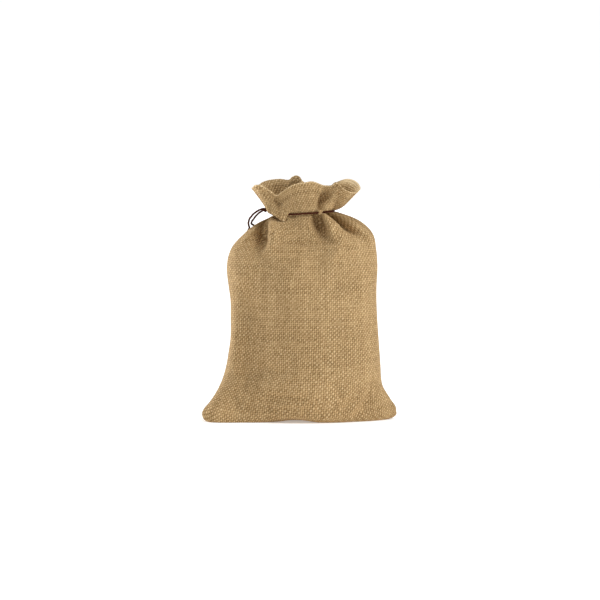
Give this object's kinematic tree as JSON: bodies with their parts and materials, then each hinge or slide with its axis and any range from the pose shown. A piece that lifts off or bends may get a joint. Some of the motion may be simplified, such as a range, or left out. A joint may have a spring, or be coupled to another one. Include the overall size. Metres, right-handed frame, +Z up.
{
  "type": "burlap sack",
  "caption": "Small filled burlap sack that stands on its base, with eared bottom corners, a neck drawn in by a thin tied cord and an open ruffle above it",
  "frame": {"origin": "middle of the box round the sack at the level it stands on", "axes": "+Z up through the neck, +X to the viewer's right along the wide front, +Y to the back, so the front faces -Y"},
  "size_m": [0.1998, 0.094, 0.2506],
  "materials": {
    "hessian": "matt plain weave",
    "waxed_cord": "dark waxed twist"
  },
  "bodies": {
    "root": {"sack": "hessian", "drawcord": "waxed_cord", "knot": "waxed_cord", "tail_outer": "waxed_cord", "tail_inner": "waxed_cord"}
  },
  "joints": []
}
